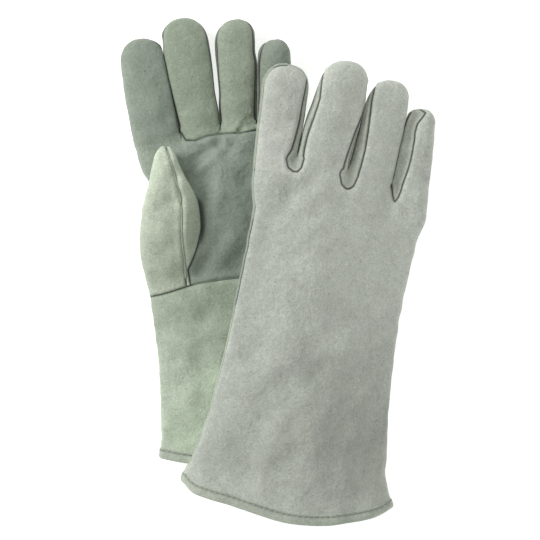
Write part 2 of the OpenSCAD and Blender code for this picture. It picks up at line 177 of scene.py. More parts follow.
# gusset outlines on the back of the right glove, which open out below the crotches: (x, y)
GUSSET_OUTLINES = [np.array(outline, float) for outline in (
    [[-31.0, 108.7], [-35.3, 111.5], [-37.4, 117.5], [-34.9, 125.6], [-33.4, 137.5],
     [-31.9, 151.4], [-30.6, 171.0], [-30.3, 181.2], [-31.1, 187.5], [-20.1, 189.2],
     [-20.1, 180.4], [-19.4, 166.9], [-22.5, 146.9], [-23.9, 137.0], [-24.6, 127.2],
     [-24.6, 119.4], [-25.5, 112.4], [-27.9, 109.0]],
    [[10.9, 102.1], [7.1, 105.0], [4.9, 112.1], [6.0, 120.1], [8.3, 132.1], [10.9, 146.1],
     [14.2, 160.2], [16.4, 174.2], [16.7, 183.9], [20.9, 184.6], [21.1, 176.8], [21.4, 163.2],
     [21.4, 147.7], [21.1, 134.0], [19.9, 122.1], [18.5, 112.2], [16.3, 105.0], [13.5, 102.5]],
    [[50.0, 97.8], [47.5, 102.9], [45.8, 110.4], [46.5, 124.2], [47.5, 137.9], [49.2, 151.8],
     [51.3, 164.8], [52.5, 172.7], [58.6, 173.1], [63.7, 170.3], [58.9, 161.0], [57.7, 153.1],
     [58.0, 139.5], [56.8, 125.7], [54.0, 111.7], [51.8, 101.6]])]
GUSSET_DEPTHS = (1.4, 2.0, 3.4)     # how far those gussets sink in
# knuckle seam on the palm of the left glove: (x, y)
LEFT_KNUCKLE_SEAM = np.array(
    [[-25.6, 119], [-24.6, 111.5], [-21.8, 105.6], [-15, 104.4], [-4.5, 106.5], [7, 106.7],
     [20.5, 105], [31.3, 105.3], [50, 104.6], [70, 104]], float)

PALM_SIDE, BACK_SIDE = 1, -1
# folds: x0, y0, x1, y1, width, depth; the left glove's are on its palm, the right's on its back
FOLDS = (
    [(-34, 78, -10, 97, 5.0, 2.0), (-18, 87, 2, 98, 3.6, 2.6), (21, 107, 32, 111, 2.2, 2.0),
     (24, 112, 33, 116, 2.0, 1.3), (-22, 30, -12, 74, 6, 2.0), (-34, -2, 6, 8, 9, 2.2),
     (-26, 4, -6, 28, 5, 1.9), (-10, 34, 16, 66, 9, 1.5), (8, 92, 20, 102, 4, 1.0),
     (-60, 48, -40, 58, 5, 0.9), (-62, 20, -44, 26, 6, 0.8), (-58, 118, -38, 124, 5, 0.8),
     (-56, 146, -36, 150, 6, 0.7), (-20, 132, 0, 136, 6, 0.8), (-18, 160, 2, 163, 6, 0.6),
     (12, 136, 36, 141, 6, 0.7), (-66, -36, -30, -30, 8, 1.4), (-70, -84, -36, -70, 9, 1.2),
     (-40, -110, -30, -40, 8, 1.0)],
    [(52, -150, 62, -60, 7, 2.0), (30, -150, 34, -80, 10, 1.2), (-40, -150, -30, -70, 12, 1.6),
     (-30, 92, -14, 108, 6, 1.2), (8, 88, 12, 108, 5, 1.2), (44, 90, 47, 112, 5, 1.2),
     (-50, 10, 30, 2, 14, 1.3), (-62, 60, -30, 46, 9, 1.0), (-60, 140, -34, 145, 6, 0.9),
     (-18, 142, 10, 147, 6, 0.9), (20, 140, 44, 144, 6, 0.8), (50, 132, 72, 136, 5, 0.7),
     (-20, 168, 14, 170, 6, 0.5), (56, 24, 70, 50, 7, 1.0), (-10, -60, 40, -40, 14, 1.2)])
FOLD_FACE = (PALM_SIDE, BACK_SIDE)


# ---------------------------------------------------------------- placing a glove
def lift(side, x, y):
    """Height of the glove's midplane above the floor."""
    if side == LEFT:
        return FLAT * BACK_HALF[LEFT](y)
    return REST_HEIGHT + DRAPE_RISE(y) * rise(DRAPE_START(y) - x, 0, DRAPE_SPAN(y))


def to_world(side, points):
    """Glove frame in mm to world frame in metres."""
    x, y, z = np.moveaxis(points, -1, 0)
    turn = math.radians(TURN[side])
    height = lift(side, x, y) + (z if side == LEFT else -z)
    soft = FLOOR_SOFTNESS
    height = np.where(height < soft, soft * np.exp((height - soft) / soft), height)
    world_x = ORIGIN[side][0] + x * math.cos(turn) - y * math.sin(turn)
    world_y = ORIGIN[side][1] + x * math.sin(turn) + y * math.cos(turn)
    return np.stack([world_x, world_y, height], -1) / 1000.0


def hem_y(side, x):
    if side == RIGHT:
        return RIGHT_HEM(x) + 0.4
    part = np.minimum(1, np.abs(x - 2) / 82)
    return -CUFF[LEFT] - 16 * (1 - part ** 2) - 0.8


# ---------------------------------------------------------------- creases of the soft leather
def wave_set(seed, count, shortest, longest):
    """Wavelengths, directions and phases of random plane waves."""
    random = np.random.RandomState(seed)
    lengths = np.exp(random.uniform(math.log(shortest), math.log(longest), count))
    directions = random.uniform(0, math.pi, count)
    return lengths, directions, random.uniform(0, FULL_TURN, count)


def wave(waves, x, y, ridged=False):
    total = 0
    for length, turn, phase in zip(*waves):
        level = np.sin(FULL_TURN * (x * math.cos(turn) + y * math.sin(turn)) / length + phase)
        total = total + (1 - 2 * np.abs(level) if ridged else level)
    return total / math.sqrt(len(waves[0]))


BILLOWS = [wave_set(11 + side, 9, 38, 90) for side in BOTH]
RIPPLES = [wave_set(21 + side, 12, 14, 30) for side in BOTH]
RIDGES = [wave_set(31 + side, 5, 34, 70) for side in BOTH]
WRINKLES = [wave_set(41 + side, 22, 5.0, 13) for side in BOTH]


def crumple(side, points):
    """Moves points along z by billows, creases and folds, and ripples the edges along x."""
    x, y, z = points.T
    facing = rise(z, -5, 10) * 2 - 1        # 1 on the palm side, -1 on the back
    palm = facing > 0
    body = np.clip(1.15 - rise(y, 95, 40) * 0.55, 0, 1)      # fingers crumple less
    swell = (0.95 * wave(BILLOWS[side], x, y + 40 * palm) * body
             + 0.22 * wave(RIPPLES[side], x, y + 60 * palm) * body
             + 0.45 * wave(RIDGES[side], x, y, ridged=True) * body)
    # fine wrinkles are strongest below the finger roots and across the base of the hand
    where = 0.25 + bell(y - 96, 14) + 0.5 * bell(y + 8, 16)
    swell = swell + 0.15 * wave(WRINKLES[side], x, y, ridged=True) * where
    for x0, y0, x1, y1, width, depth in FOLDS[side]:
        run_x, run_y = x1 - x0, y1 - y0
        along = ((x - x0) * run_x + (y - y0) * run_y) / (run_x * run_x + run_y * run_y)
        along = np.clip(along, 0, 1)
        away = np.hypot(x - x0 - along * run_x, y - y0 - along * run_y)
        groove = bell(away, width) - 0.42 * bell(away - 1.9 * width, 0.9 * width)
        swell = swell - depth * groove * (facing * FOLD_FACE[side] > 0)
    swell = swell - 0.35
    moved = points.copy()
    moved[:, 2] = z + facing * np.clip(np.abs(z) / 7, 0, 1) * swell
    ripple = 0.8 * wave(RIPPLES[side], y * 1.3, y * 0.4 + np.sign(x) * 50)
    moved[:, 0] = x + np.clip((np.abs(x) - 30) / 30, 0, 1) * ripple * 0.25
    return moved


# ---------------------------------------------------------------- solid form as a distance field
def super_distance(ratios, radii, power):
    """Approximate distance to a superellipsoid, from coordinates divided by its radii."""
    norm = np.maximum(sum(ratio ** power for ratio in ratios) ** (1 / power), 1e-3)
    slopes = sum((ratio ** (power - 1) / radius) ** 2 for ratio, radius in zip(ratios, radii))
    slope = np.sqrt(slopes) * norm ** (1 - power)
    return (norm - 1) / np.maximum(slope, 1e-4)


def hand_section(side, y):
    """Centre and half width of the hand and cuff."""
    low, high = THUMB_EDGE[side](y), LITTLE_EDGE[side](y)
    return (low + high) / 2, (high - low) / 2


def hand_half_height(side, y, palm):
    return np.where(palm, PALM_HALF[side](y), BACK_HALF[side](y))


def finger_section(side, finger, y):
    """Centre, half width and half height of a finger."""
    spec = FINGERS[side][finger]
    root, mid, tip = spec.root_half, spec.mid_half, spec.tip_half
    part = (y - spec.root_y) / (spec.tip_y - spec.root_y)
    half_width = np.interp(part, [0, 0.25, 0.5, 0.75, 1],
                           [root, (root + mid) / 2 + 0.2, mid, (mid + tip) / 2 + 0.1, tip])
    half_height = 0.6 * np.interp(part, [0, 0.5, 1], [root, mid, tip * 0.86]) + 2.7
    centre = spec.root_x + (spec.tip_x - spec.root_x) * part
    if finger == 0:     # the root of the index finger leans in towards the palm
        start, lean = ((106, 0.21), (108, 0.2))[side]
        centre = centre + np.maximum(0, start - y) * lean
    return centre, half_width, half_height


def finger_cap(spec):
    """Length of the rounded fingertip."""
    return spec.tip_half * 1.12


def finger_drop(side, finger):
    """How far a left finger sinks towards the floor below the hand's midplane."""
    if side == RIGHT:
        return 0.0
    return FLAT * 14.0 - (0.6 * FINGERS[side][finger].root_half + 2.7) - 0.2


def mid_height(side, x, y):
    """Height of the surface that parts palm from back."""
    if side == RIGHT:
        return x * 0.0
    centres = [spec.root_x for spec in FINGERS[side]]
    drops = [finger_drop(side, finger) for finger in range(4)]
    return -np.interp(x, centres, drops) * rise(y, 84, 24)


def finger_gap(side, gap, y):
    """Centre and half width of the gap between fingers gap and gap + 1."""
    low, low_half, _ = finger_section(side, gap, y)
    high, high_half, _ = finger_section(side, gap + 1, y)
    half = np.maximum((high - high_half - low - low_half) / 2, 1.0)
    return (low + low_half + high - high_half) / 2, half


def finger_at(side, x, y):
    """Which finger's strip a point lies in, 0 to 3."""
    return sum((x > finger_gap(side, gap, y)[0]).astype(int) for gap in range(3))


def thumb_section(side, y):
    """Centre x, centre z, half width and half height of the thumb."""
    return [curve(y) for curve in THUMB_PROFILES[side]]


def hand_distance(side, x, y, z):
    """Distance to the hand, cuff and fingers."""
    centre, half_width = hand_section(side, y)
    half_height = hand_half_height(side, y, z > 0)
    crotches = CROTCHES[side]
    end = np.interp(x, [crotch[0] for crotch in crotches],
                    [crotch[1] for crotch in crotches]) + 1.0
    body = super_distance(
        (np.abs(x - centre) / half_width, np.abs(z) / half_height,
         np.maximum(0, (y - 90) / (end - 90))), (half_width, half_height, end - 90), HAND_POWER)
    fingers = None
    for i, spec in enumerate(FINGERS[side]):
        centre, half_width, half_height = finger_section(side, i, y)
        cap = finger_cap(spec)
        ends = np.maximum(np.maximum(0, (y - (spec.tip_y - cap)) / cap),
                          np.maximum(0, (90 - y) / 14))
        finger = super_distance(
            (np.abs(x - centre) / half_width, np.abs(z + finger_drop(side, i)) / half_height,
             ends), (half_width, half_height, cap), FINGER_POWER)
        fingers = finger if fingers is None else soft_min(fingers, finger, 0.8)
    hand = soft_min(body, fingers, 9.0)
    for gap in range(3):        # neighbouring fingers are never one body
        wall = GAP_WALL - np.abs(x - finger_gap(side, gap, y)[0])
        hand = np.maximum(hand, np.minimum(wall, y - crotches[gap][1] - 3.6))
    return hand


def glove_parts(side, points):
    """Distances to the whole glove, to its hand and to its thumb."""
    x, y, z = np.moveaxis(points, -1, 0)
    hand = hand_distance(side, x, y, z)
    centre_x, centre_z, half_width, half_height = thumb_section(side, y)
    ends = np.maximum(np.maximum(0, (y - (THUMB_TIP[side] - THUMB_CAP)) / THUMB_CAP),
                      np.maximum(0, (0 - y) / 14))
    thumb = super_distance(
        (np.abs(x - centre_x) / half_width, np.abs(z - centre_z) / half_height, ends),
        (half_width, half_height, THUMB_CAP), THUMB_POWER)
    blend = np.interp(y, [20, 60, 74], [5.5, 3.0, 0.9])
    return soft_min(hand, thumb, blend), hand, thumb


def glove_distance(side, points):
    return glove_parts(side, points)[0]


def glove_gradient(side, points, delta):
    """Distance and its gradient by finite differences."""
    here = glove_distance(side, points)
    slopes = [(glove_distance(side, points + delta * axis) - here) / delta
              for axis in np.eye(3)]
    return here, np.stack(slopes, 1)


# ---------------------------------------------------------------- meshing the field
CUBE = [(i & 1, i >> 1 & 1, i >> 2) for i in range(8)]


def net_points(grid, active):
    """Mean of the edge crossings in each active cell, in grid steps."""
    total = np.zeros((len(active), 3))
    count = np.zeros(len(active))
    for start, end in itertools.combinations(CUBE, 2):
        step = np.array(end) - np.array(start)
        if np.abs(step).sum() != 1:
            continue
        value0 = grid[tuple((active + start).T)]
        value1 = grid[tuple((active + end).T)]
        crosses = (value0 < 0) != (value1 < 0)
        part = np.where(crosses, value0 / np.where(crosses, value0 - value1, 1), 0)
        crossing = np.array(start)[None] + part[:, None] * step[None]
        total += crossing * crosses[:, None]
        count += crosses
    return active + total / count[:, None]


def net_quads(inside, index):
    """One outward-facing quad round every grid edge that crosses the surface."""
    quads = []
    for axis in range(3):
        next1, next2 = (axis + 1) % 3, (axis + 2) % 3
        edges = np.argwhere(np.diff(inside, axis=axis))
        at1, at2 = edges[:, next1], edges[:, next2]
        edges = edges[(at1 > 0) & (at2 > 0) & (at1 < inside.shape[next1] - 1)
                      & (at2 < inside.shape[next2] - 1)]
        ring = []
        for shift1, shift2 in ((-1, -1), (0, -1), (0, 0), (-1, 0)):
            cell = edges.copy()
            cell[:, next1] += shift1
            cell[:, next2] += shift2
            ring.append(index[tuple(cell.T)])
        ring = np.stack(ring, 1)
        outside = ~inside[tuple(edges.T)]
        ring[outside] = ring[outside][:, ::-1]
        quads.append(ring)
    return np.concatenate(quads)


def surface(side, step=GRID_STEP):
    """Surface nets of the glove's field, as points and triangles."""
    low = np.array([-92, -(CUFF[side] + 24), -26.0])
    high = np.array([94, 206, 43.0 if side == LEFT else 30.0])
    count = np.ceil((high - low) / step).astype(int) + 1
    axes = [low[i] + step * np.arange(count[i]) for i in range(3)]
    grid = np.empty(count, np.float32)
    y, z = np.meshgrid(axes[1], axes[2], indexing="ij")
    for i, x in enumerate(axes[0]):
        grid[i] = glove_distance(side, np.stack([np.full_like(y, x), y, z], -1))
    inside = grid < 0
    cells = np.zeros(count - 1, np.uint8)
    for shift in CUBE:
        cells += inside[tuple(slice(i, i + size) for i, size in zip(shift, cells.shape))]
    active = np.argwhere((cells > 0) & (cells < 8))
    points = low + step * net_points(grid, active)
    index = -np.ones(cells.shape, np.int64)
    index[tuple(active.T)] = np.arange(len(active))
    quads = net_quads(inside, index)
    for _ in range(2):      # settle the points onto the exact surface
        here, slope = glove_gradient(side, points, 0.05)
        move = np.clip(here / np.maximum((slope ** 2).sum(1), 0.3), -0.6, 0.6)
        points = points - move[:, None] * slope
    corners = points[quads]
    diagonal0 = np.linalg.norm(corners[:, 0] - corners[:, 2], axis=1)
    diagonal1 = np.linalg.norm(corners[:, 1] - corners[:, 3], axis=1)
    first, second = quads[diagonal0 < diagonal1], quads[~(diagonal0 < diagonal1)]
    return points, np.concatenate([first[:, [0, 1, 2]], first[:, [0, 2, 3]],
                                   second[:, [1, 2, 3]], second[:, [1, 3, 0]]])


def slice_mesh(points, faces, level):
    """Splits triangles, adding points where the level crosses zero."""
    level = np.where(np.abs(level) < 1e-4, 1e-4, level)
    above = level > 0
    count = above[faces].sum(1)
    cut = (count == 1) | (count == 2)
    split = faces[cut]
    if not len(split):
        return points, faces
    above = above[split]
    lone = np.where(count[cut][:, None] == 1, above, ~above).argmax(1)
    rows = np.arange(len(split))
    tip, left, right = (split[rows, (lone + i) % 3] for i in range(3))
    edges = np.concatenate([np.stack([tip, left], 1), np.stack([tip, right], 1)])
    edges.sort(1)
    base = len(points) + 1
    keys, inverse = np.unique(edges[:, 0] * base + edges[:, 1], return_inverse=True)
    start, end = keys // base, keys % base
    part = np.clip(level[start] / (level[start] - level[end]), 0.02, 0.98)
    added = points[start] + part[:, None] * (points[end] - points[start])
    new0 = len(points) + inverse[:len(split)]
    new1 = len(points) + inverse[len(split):]
    pieces = [np.stack([tip, new0, new1], 1), np.stack([new0, left, right], 1),
              np.stack([new0, right, new1], 1)]
    return np.concatenate([points, added]), np.concatenate([faces[~cut]] + pieces)


def compact(faces):
    """Indices of the points the faces use, and the faces renumbered to them."""
    used, inverse = np.unique(faces, return_inverse=True)
    return used, inverse.reshape(faces.shape)


def close_gaps(side, points):
    """Draws facing finger sides together until they touch; also returns where they do."""
    x, y = points[:, 0].copy(), points[:, 1]
    shade = np.zeros(len(points))
    for gap in range(3):
        centre, half = finger_gap(side, gap, y)
        height = y - CROTCHES[side][gap][1]
        start, end = TOUCH[side][gap]
        closing = rise(height, -0.5, 3.5) * (1 - rise(height, start, end - start))
        offset = x - centre
        away = np.abs(offset)
        shift = np.minimum(half + 0.6, away - 0.05) * closing
        shift = np.maximum(shift * (1 - rise(away - half, 0.6, 8.0)), 0)
        x = x - np.sign(offset) * shift
        shade = np.maximum(shade, closing * (1 - rise(away - shift, 0, 1.5)))
    moved = points.copy()
    moved[:, 0] = x
    return moved, shade


# ---------------------------------------------------------------- seams
def outline_distance(outline, x, y):
    """Signed distance to a closed outline in the glove's x-y plane, negative inside."""
    nearest = np.full(len(x), 1e9)
    inside = np.zeros(len(x), bool)
    for (x0, y0), (x1, y1) in zip(outline, np.roll(outline, -1, 0)):
        run_x, run_y = x1 - x0, y1 - y0
        part = ((x - x0) * run_x + (y - y0) * run_y) / (run_x * run_x + run_y * run_y)
        part = np.clip(part, 0, 1)
        away = (x - x0 - part * run_x) ** 2 + (y - y0 - part * run_y) ** 2
        nearest = np.minimum(nearest, away)
        inside ^= ((y0 > y) != (y1 > y)) & (x < x0 + run_x * (y - y0) / run_y)
    return np.where(inside, -1, 1) * np.sqrt(nearest)


def edge_offset(x, y):
    """The palm leather laps round the index edge onto the back."""
    lap = np.interp(y, [-140, -30, 30, 90, 110], [2.0, 2.6, 3.6, 4.6, 5.0])
    return np.where(x < -20, -lap, 1.0)


def gusset_field(side, points, finger, centre, tip):
    """Negative on the gussets between the fingers."""
    x, y, z = points.T
    middle = mid_height(side, x, y)
    behind = z < middle
    outward = np.where(finger == 0, centre - x, np.where(finger == 3, x - centre, -1.0))
    half = np.full(len(points), 6.0)
    for i, flanks in enumerate(GUSSET_HALF[side]):
        for high_flank, height in enumerate(flanks):
            half[(finger == i) & ((x > centre) == bool(high_flank)) & behind] = height
    if side == LEFT:
        widened = half + (8.0 - half) * (1 - rise(y, 104, 14)) * behind
        half = np.where(y < 118, widened, half)
    band = np.abs(z - middle) - half * np.maximum(0, 1 - tip ** 2.2) ** 0.8
    gusset = np.maximum(np.maximum(band, outward * 0.8), 96 - y)
    if side == RIGHT:
        plan = np.minimum.reduce([outline_distance(line, x, y) for line in GUSSET_OUTLINES])
        gusset = np.where(z < middle - 0.5, np.maximum(plan, z - middle), gusset)
    return gusset


def knuckle_field(side, x, y, palm):
    """Positive beyond the knuckle seam."""
    field = y - KNUCKLE_Y - 0.9 * np.sin(x / 11)
    if side == LEFT:
        line = LEFT_KNUCKLE_SEAM.T
        level = np.interp(x, *line)
        slope = (np.interp(x + 0.5, *line) - level) / 0.5
        field = np.where(palm & (x > -25.6), (y - level) / np.sqrt(1 + slope * slope), field)
    return field


def seam_fields(side, points):
    """Fields that cross zero along each seam, with each point's finger and finger centre."""
    x, y, z = points.T
    _, hand, thumb = glove_parts(side, points)
    finger = finger_at(side, x, y)
    middle = mid_height(side, x, y)
    centre = np.zeros(len(points))
    tip = np.zeros(len(points))         # 0 to 1 over the end of each finger
    for i, spec in enumerate(FINGERS[side]):
        mine = finger == i
        centre[mine] = finger_section(side, i, y[mine])[0]
        end = spec.tip_half * 1.3
        tip[mine] = np.clip((y[mine] - (spec.tip_y - end)) / end, 0, 1)
    gusset = gusset_field(side, points, finger, centre, tip)
    wrist = y + 5.6 + 4.2 * rise(-x, 26, 42) + 0.6 * np.sin(x / 11)
    on_thumb = thumb - hand
    if side == LEFT:
        notch = np.maximum(np.maximum(x + 35.2, y - 11), 1 - z)
        on_thumb = np.minimum(on_thumb, notch)
    return dict(gusset=np.where(thumb < hand, 9.0, gusset),
                edge=z - middle - edge_offset(x, y), wrist=wrist,
                knuckle=knuckle_field(side, x, y, z > middle),
                thumb=np.maximum(on_thumb, -wrist), thumb_seam=x - THUMB_SEAM[side](y),
                finger=finger, centre=centre)


def seam_distance(side, points, seams):
    """Distance of every point from the nearest seam of its glove."""
    x, y, z = points.T
    finger, centre = seams["finger"], seams["centre"]
    thumb = seams["thumb"] < 0
    outer = np.where(y > 104,
                     ((finger == 0) & (x < centre)) | ((finger == 3) & (x > centre)),
                     np.abs(z) < 12)
    where = {
        "gusset": (y > 98) & ~thumb,
        "edge": outer & (seams["gusset"] > 0) & ~thumb,
        "wrist": z > 2,
        "knuckle": (z > 2) & (finger > 0) & (finger < 3),
        "thumb": (y < 72) & (z > 0),
        "thumb_seam": thumb & (z > THUMB_PROFILES[side][1](y) - 2)}
    return np.minimum.reduce([np.where(mask, np.abs(seams[seam]), 99.0)
                              for seam, mask in where.items()])


def cut_seams(side, points, faces):
    """Adds points along every seam and along narrow bands beside it."""
    offsets = ((0.0, -0.5, 0.5, -1.3, 1.3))
    for seam in ("gusset", "edge", "wrist", "knuckle", "thumb", "thumb_seam"):
        for offset in offsets:
            seams = seam_fields(side, points)
            where = True
            if seam == "thumb_seam":
                where = seams["thumb"] < 2.5
            elif offset and seam == "edge":
                where = np.abs(points[:, 0]) > 40
            elif offset and seam in ("wrist", "knuckle"):
                where = points[:, 2] > 0
            level = np.where(where, seams[seam] + offset, 8.0)
            points, faces = slice_mesh(points, faces, level)
    return points, faces


# ---------------------------------------------------------------- materials
MIX_A, MIX_B, MIX_RESULT = 6, 7, 2      # colour sockets of a mix node


def linear(colour):
    """sRGB bytes to linear RGBA."""
    return tuple(((c / 255 + 0.055) / 1.055) ** 2.4 if c > 10 else c / 255 / 12.92
                 for c in colour) + (1.0,)


def set_inputs(node, values):
    for name, value in values.items():
        node.inputs[name].default_value = value


def new_material(name):
    material = bpy.data.materials.new(name)
    material.use_nodes = True
    tree = material.node_tree
    return material, tree.nodes, tree.links, tree.nodes["Principled BSDF"]


def suede(name, colour, seed, nap=1.0, blotch=(0.93, 1.05), sheen=0.28):
    """Napped leather. The mesh attribute seam darkens it with painted shade along seams, in
    crevices and between touching fingers; wear lightens it where it is rubbed; a third attribute
    adds broad painted light and shade.
    """
    material, nodes, links, shader = new_material(name)
    coordinates = nodes.new("ShaderNodeTexCoord")
    mapping = nodes.new("ShaderNodeMapping")
    mapping.inputs["Location"].default_value = (seed, seed * 0.7, seed * 1.3)
    links.new(coordinates.outputs["Object"], mapping.inputs[0])

    def noise(scale, detail=4.0, rough=0.55, distort=0.0):
        node = nodes.new("ShaderNodeTexNoise")
        set_inputs(node, {"Scale": scale, "Detail": detail, "Roughness": rough,
                          "Distortion": distort})
        links.new(mapping.outputs[0], node.inputs["Vector"])
        return node.outputs["Fac"]

    def attribute(name):
        node = nodes.new("ShaderNodeAttribute")
        node.attribute_name = name
        return node.outputs["Fac"]

    def remap(source, span, result):
        node = nodes.new("ShaderNodeMapRange")
        set_inputs(node, {"From Min": span[0], "From Max": span[1],
                          "To Min": result[0], "To Max": result[1]})
        links.new(source, node.inputs["Value"])
        return node.outputs[0]

    def multiply(first, second):
        node = nodes.new("ShaderNodeMath")
        node.operation = "MULTIPLY"
        links.new(first, node.inputs[0])
        links.new(second, node.inputs[1])
        return node.outputs[0]

    def bump(height, strength, distance, normal=None):
        node = nodes.new("ShaderNodeBump")
        set_inputs(node, {"Strength": strength, "Distance": distance})
        links.new(height, node.inputs["Height"])
        if normal:
            links.new(normal, node.inputs["Normal"])
        return node.outputs[0]

    # brightness factors, from broad blotches down to single fibres, then the attributes
    blotches = remap(noise(24, distort=0.5), (0.3, 0.7), blotch)
    patches = remap(noise(120, detail=5, rough=0.65, distort=0.8), (0.28, 0.72), (0.91, 1.08))
    mottle = remap(noise(310, detail=3, rough=0.6, distort=1.4), (0.3, 0.7), (0.91, 1.09))
    fibres = remap(noise(900, rough=0.75), (0.28, 0.72), (0.77, 1.21))
    flecks = remap(noise(620, detail=2, rough=0.5), (0.62, 0.78), (1.0, 1.10))
    # painted shade: the seam attribute darkens the colour along seams, in crevices and between
    # touching fingers
    seam = remap(attribute("seam"), (0.0, 1.0), (1.0, 0.07))
    pits = remap(noise(540, detail=2, rough=0.5, distort=0.6), (0.24, 0.36), (0.70, 1.0))
    wear = remap(attribute("wear"), (0.0, 1.0), (1.0, 1.07))
    # broad painted light and shade from the mesh attribute
    painted_light_and_shade = remap(attribute("painted_light_and_shade"), (-1.0, 1.0), (0.0, 2.0))
    brightness = multiply(multiply(multiply(
        multiply(blotches, multiply(patches, mottle)),
        multiply(fibres, multiply(flecks, pits))), multiply(seam, wear)), painted_light_and_shade)
    base = nodes.new("ShaderNodeVectorMath")
    base.operation = "SCALE"
    base.inputs[0].default_value = linear(colour)[:3]
    links.new(brightness, base.inputs["Scale"])
    # slight shift of hue from patch to patch
    hue = nodes.new("ShaderNodeMix")
    hue.data_type = "RGBA"
    hue.blend_type = "MULTIPLY"
    links.new(remap(noise(48, detail=3), (0.35, 0.65), (0.0, 1.0)), hue.inputs["Factor"])
    links.new(base.outputs[0], hue.inputs[MIX_A])
    hue.inputs[MIX_B].default_value = (1.0, 1.008, 0.985, 1)
    links.new(hue.outputs[MIX_RESULT], shader.inputs["Base Color"])
    set_inputs(shader, {"Roughness": 0.95, "Specular IOR Level": 0.18, "Sheen Weight": sheen,
                        "Sheen Roughness": 0.55, "Sheen Tint": (0.93, 0.95, 0.90, 1)})
    normal = bump(noise(1700, rough=0.7), strength=0.55 * nap, distance=0.00035)
    normal = bump(noise(420, detail=3, rough=0.6, distort=0.6), strength=0.5 * nap,
                  distance=0.0009, normal=normal)
    normal = bump(noise(95, distort=1.2), strength=0.5, distance=0.0022, normal=normal)
    links.new(normal, shader.inputs["Normal"])
    return material


def thread():
    """Twisted sewing thread."""
    material, nodes, links, shader = new_material("sewing_thread")
    coordinates = nodes.new("ShaderNodeTexCoord")
    twist = nodes.new("ShaderNodeTexWave")
    twist.wave_type = "BANDS"
    twist.bands_direction = "DIAGONAL"
    set_inputs(twist, {"Scale": 900, "Distortion": 1.5})
    links.new(coordinates.outputs["Object"], twist.inputs["Vector"])
    mix = nodes.new("ShaderNodeMix")
    mix.data_type = "RGBA"
    mix.inputs[MIX_A].default_value = linear((140, 147, 134))
    mix.inputs[MIX_B].default_value = linear((180, 186, 172))
    links.new(twist.outputs["Fac"], mix.inputs["Factor"])
    links.new(mix.outputs[MIX_RESULT], shader.inputs["Base Color"])
    bump = nodes.new("ShaderNodeBump")
    set_inputs(bump, {"Strength": 0.5, "Distance": 0.0002})
    links.new(twist.outputs["Fac"], bump.inputs["Height"])
    links.new(bump.outputs[0], shader.inputs["Normal"])
    shader.inputs["Roughness"].default_value = 0.7
    return material


# key: material name, sRGB colour, noise seed
MATERIALS = {key: suede(*row) for key, row in {
    "back_R": ("suede_back_right", (183, 188, 179), 1.1),
    "back_L": ("suede_back_left", (172, 178, 168), 2.3),
    "palm": ("suede_palm", (154, 164, 152), 3.7),
    "front_L0": ("suede_index_palm", (146, 156, 143), 4.2),
    "front_L1": ("suede_middle_palm", (154, 165, 147), 5.6),
    "front_L2": ("suede_ring_palm", (160, 170, 153), 6.9),
    "front_L3": ("suede_little_palm", (145, 154, 142), 7.3),
    "front_R": ("suede_front_right", (160, 169, 155), 8.1),
    # painted light: the thumb panels are painted much lighter than the palm, for the key light on
    # the thumb side
    "thumb_outer": ("suede_thumb_outer", (200, 210, 190), 9.4),
    "thumb_inner": ("suede_thumb_inner", (207, 217, 198), 10.2),
    "cuff": ("suede_cuff", (183, 195, 176), 11.5),
    "cuff_R": ("suede_cuff_right", (166, 173, 158), 12.6),
    # painted light and shade: one fourchette leather, painted darker on the left glove for the
    # shade in its slits and lighter on the right glove against the shade on its finger sides
    "gusset_L": ("suede_fourchette", (156, 163, 152), 13.4),
    "gusset_R": ("suede_fourchette_right", (174, 180, 169), 18.3),
    # painted light: the right index back is painted lighter than the rest of the back, for the key
    # light on that side
    "index_R": ("suede_index_back", (193, 197, 189), 14.8),
    "hem": ("suede_hem", (184, 192, 178), 15.9),
    "welt": ("leather_welt", (176, 184, 168), 16.1, 0.6),
    "welt_dark": ("leather_welt_dark", (120, 128, 116), 17.2, 0.6)}.items()}
MATERIALS["fleece"] = suede("fleece_lining", (216, 210, 194), 20.0, nap=1.6,
                            blotch=(0.99, 1.00), sheen=0.6)
MATERIALS["thread"] = thread()


# ---------------------------------------------------------------- building objects
def link_object(name, mesh, material):
    item = bpy.data.objects.new(name, mesh)
    bpy.context.scene.collection.objects.link(item)
    mesh.materials.append(MATERIALS[material])
    return item


def add_mesh(name, points, faces, material, normals=None, attributes=None):
    mesh = bpy.data.meshes.new(name)
    mesh.from_pydata([], [], [])        # default layers; the arrays below fill the mesh
    mesh.vertices.add(len(points))
    mesh.vertices.foreach_set("co", np.asarray(points, np.float32).ravel())
    mesh.loops.add(faces.size)
    mesh.loops.foreach_set("vertex_index", faces.astype(np.int32).ravel())
    mesh.polygons.add(len(faces))
    starts = np.arange(len(faces)) * faces.shape[1]
    mesh.polygons.foreach_set("loop_start", starts.astype(np.int32))
    mesh.update(calc_edges=True)
    mesh.validate()
    mesh.polygons.foreach_set("use_smooth", np.ones(len(mesh.polygons), bool))
    for key, values in (attributes or {}).items():
        attribute = mesh.attributes.new(key, "FLOAT", "POINT")
        attribute.data.foreach_set("value", np.asarray(values, np.float32))
    if normals is not None:
        mesh.normals_split_custom_set_from_vertices(normals.astype(np.float32))
    return link_object(name, mesh, material)


def bend_zone(side, part):
    """Start and end of the bending zone of a finger or thumb, in world metres."""
    if part == "thumb":
        centre = THUMB_PROFILES[side][0]
        ends = [(float(centre(y)), y, z) for y, z in ((58.0, 20.0), (84.0, 24.0))]
    else:
        finger = FINGER_NAMES.index(part)
        start = max(CROTCHES[side][gap][1] for gap in (finger - 1, finger) if 0 <= gap < 3) + 0.5
        ends = [(float(finger_section(side, finger, np.array(y))[0]), y, 0.0)
                for y in (start, start + 30)]
    ends = to_world(side, np.array(ends))
    ends[:, 2] = ends[:, 2].mean()
    return tuple(ends[0]), tuple(ends[1])


